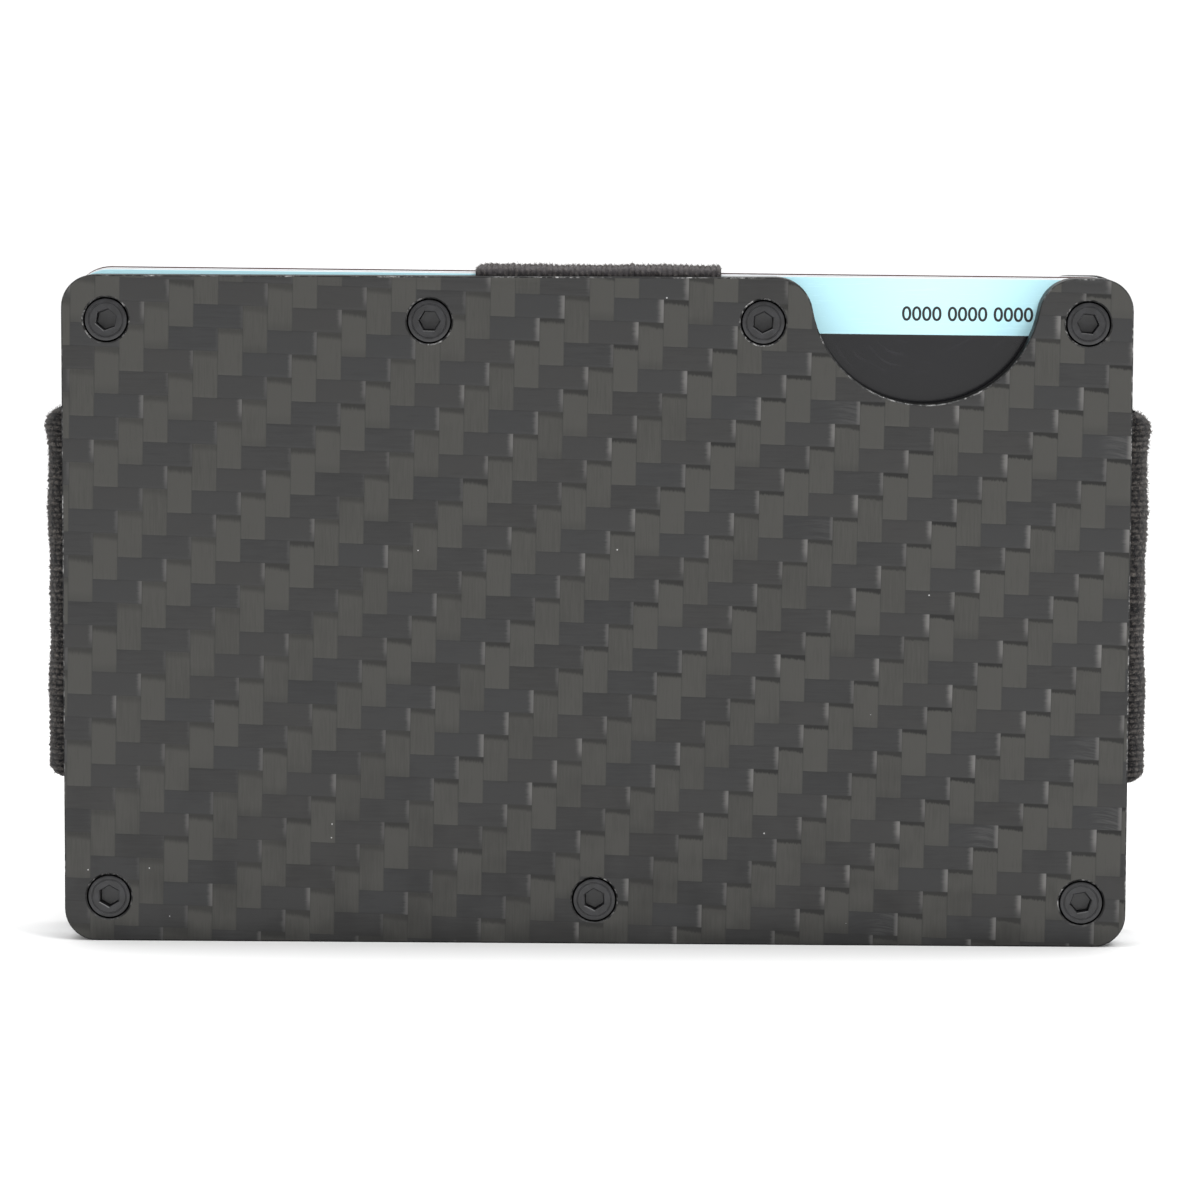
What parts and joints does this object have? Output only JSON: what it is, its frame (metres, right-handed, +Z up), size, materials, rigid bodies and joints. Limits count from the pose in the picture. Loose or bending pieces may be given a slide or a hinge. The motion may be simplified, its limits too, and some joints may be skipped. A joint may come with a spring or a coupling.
{
  "type": "minimalist wallet",
  "caption": "Slim card wallet: carbon-fibre plates screwed to thin inner plates, held round a card stack by elastic, with a thumb notch and a spring money clip.",
  "frame": {"origin": "middle of the bounding box, on the surface that the wallet stands on with its open long edge down", "axes": "+X along the wallet towards the thumb notch's side, +Y through it from the front face to the money clip, +Z up from the open edge to the closed edge"},
  "size_m": [0.0894, 0.013, 0.0549],
  "materials": {
    "carbon_fibre": "satin woven carbon laminate, 2x2 twill",
    "black_anodised": "black anodised",
    "black_screw": "black oxide",
    "elastic": "ribbed knitted elastic",
    "black_spring_steel": "satin black coating",
    "insert_brass": "plain",
    "card_pale_blue": "gloss, dark stripe on the front face",
    "card_white": "gloss",
    "card_dark_red": "gloss, white core",
    "card_navy": "gloss, white core"
  },
  "bodies": {
    "front_side": {"front_outer_plate": "carbon_fibre", "front_inner_plate": "black_anodised", "front_screws": "black_screw", "band_front_run": "elastic", "strap_front_run": "elastic", "band_left_bend": "elastic", "band_right_bend": "elastic", "strap_top_bend": "elastic"},
    "back_side": {"back_outer_plate": "carbon_fibre", "back_inner_plate": "black_anodised", "back_screws": "black_screw", "band_back_run": "elastic", "strap_back_run": "elastic", "clip_foot": "black_spring_steel", "clip_screws": "black_screw", "clip_inserts": "insert_brass"},
    "clip_blade": {"clip_blade": "black_spring_steel"},
    "card_1": {"card_1": "card_pale_blue"},
    "card_2": {"card_2": "card_white"},
    "card_3": {"card_3": "card_dark_red"},
    "card_4": {"card_4": "card_white"},
    "card_5": {"card_5": "card_navy"}
  },
  "joints": [
    {"name": "plate_spread", "type": "slide", "parent": "front_side", "child": "back_side", "axis": [0, 1, 0], "range_m": [0, 0.0056], "stiffness_N_per_m": 1200, "springref_m": -0.004, "deforming": ["band_left_bend", "band_right_bend", "strap_top_bend"]},
    {"name": "clip_flex", "type": "hinge", "parent": "back_side", "child": "clip_blade", "pos_m": [-0.025, 0.00432, 0.027], "axis": [0, 0, 1], "range_deg": [0, 8], "stiffness_Nm_per_rad": 1.5, "springref_deg": -2.29},
    {"name": "card_1_slide", "type": "slide", "parent": "front_side", "child": "card_1", "axis": [0, 0, -1], "range_m": [0, 0.056]},
    {"name": "card_2_slide", "type": "slide", "parent": "front_side", "child": "card_2", "axis": [0, 0, -1], "range_m": [0, 0.056]},
    {"name": "card_3_slide", "type": "slide", "parent": "front_side", "child": "card_3", "axis": [0, 0, -1], "range_m": [0, 0.056]},
    {"name": "card_4_slide", "type": "slide", "parent": "front_side", "child": "card_4", "axis": [0, 0, -1], "range_m": [0, 0.056]},
    {"name": "card_5_slide", "type": "slide", "parent": "front_side", "child": "card_5", "axis": [0, 0, -1], "range_m": [0, 0.056]}
  ]
}
